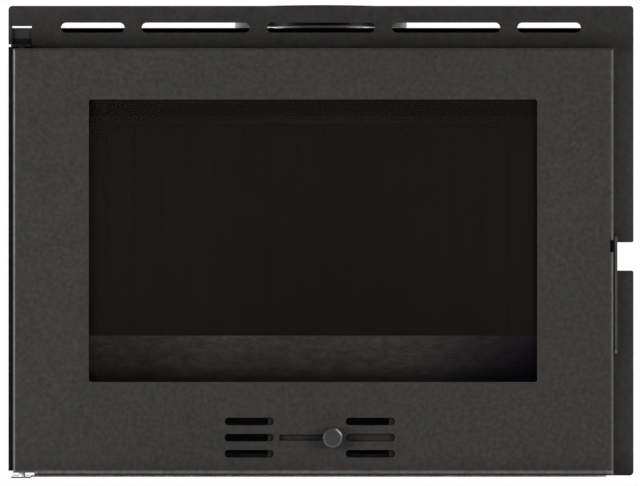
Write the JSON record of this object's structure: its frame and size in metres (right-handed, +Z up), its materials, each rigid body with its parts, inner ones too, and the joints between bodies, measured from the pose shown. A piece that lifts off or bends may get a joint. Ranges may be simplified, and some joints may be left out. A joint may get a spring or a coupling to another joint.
{
  "type": "fireplace insert",
  "caption": "Built-in wood-burning fireplace insert with a slotted steel face plate, left-hinged glass door, sliding air shutter, side latch, ash drawer and top flue collar.",
  "frame": {"origin": "middle of the base, at the back of the face plate, where it meets the wall", "axes": "+X to the right seen from the front, +Y into the chimney, +Z up along the flue"},
  "size_m": [0.7, 0.4522, 0.5322],
  "materials": {
    "black_paint": "matt heat resistant paint",
    "casing_paint": "matt heat resistant paint",
    "chamber_steel": "matt, smoke darkened",
    "cast_iron": "as cast, matt",
    "bare_steel": "satin",
    "zinc_steel": "zinc plated",
    "knob_black": "satin",
    "ceramic_glass": "clear ceramic",
    "seal_rope": "braided glass fibre",
    "seal_tape": "woven glass fibre"
  },
  "bodies": {
    "stove": {"front_frame": "black_paint", "jacket_wrap": "casing_paint", "jacket_back": "casing_paint", "jacket_screws": "zinc_steel", "base_plate": "zinc_steel", "upper_hinge_bracket": "black_paint", "hinge_pin_upper": "black_paint", "hinge_pin_lower": "bare_steel", "firebox_rails": "casing_paint", "firebox_floor": "chamber_steel", "firebox_wrap": "chamber_steel", "firebox_top": "chamber_steel", "flue_neck": "chamber_steel", "flue_flange": "bare_steel", "flue_collar": "black_paint", "ash_bay": "chamber_steel", "hearth_skirt": "chamber_steel", "drawer_runners": "chamber_steel", "hearth_plate": "cast_iron", "grate": "cast_iron", "liner_left": "cast_iron", "liner_right": "cast_iron", "liner_back": "cast_iron", "baffle_plate": "chamber_steel", "log_guard": "cast_iron", "airwash_deflector": "chamber_steel", "latch_pivot_screw": "zinc_steel"},
    "door": {"door_panel": "black_paint", "hinge_bushes": "bare_steel", "inner_frame": "black_paint", "rope_channel": "black_paint", "door_gasket": "seal_rope", "glass_pane": "ceramic_glass", "glass_gasket": "seal_tape", "glass_clips": "zinc_steel", "clip_nuts": "zinc_steel", "shutter_rails": "black_paint"},
    "shutter": {"air_shutter": "black_paint", "knob_stem": "zinc_steel", "stem_nut": "zinc_steel", "air_knob": "knob_black"},
    "latch": {"latch_lever": "black_paint"},
    "drawer": {"ash_drawer": "casing_paint", "drawer_handle": "casing_paint"}
  },
  "joints": [
    {"name": "door_hinge", "type": "hinge", "parent": "stove", "child": "door", "pos_m": [-0.334, -0.02, 0.2423], "axis": [0, 0, -1], "range_deg": [0, 110]},
    {"name": "air_slide", "type": "slide", "parent": "door", "child": "shutter", "axis": [1, 0, 0], "range_m": [-0.056, 0.0055]},
    {"name": "latch_pivot", "type": "hinge", "parent": "stove", "child": "latch", "pos_m": [0.313, -0.0048, 0.1486], "axis": [0, 1, 0], "range_deg": [-0.7, 7]},
    {"name": "drawer_slide", "type": "slide", "parent": "stove", "child": "drawer", "axis": [0, -1, 0], "range_m": [0, 0.175]}
  ],
  "couplings": [
    {"joint": "drawer_slide", "follows": "door_hinge", "m_per_rad": 0.09}
  ]
}
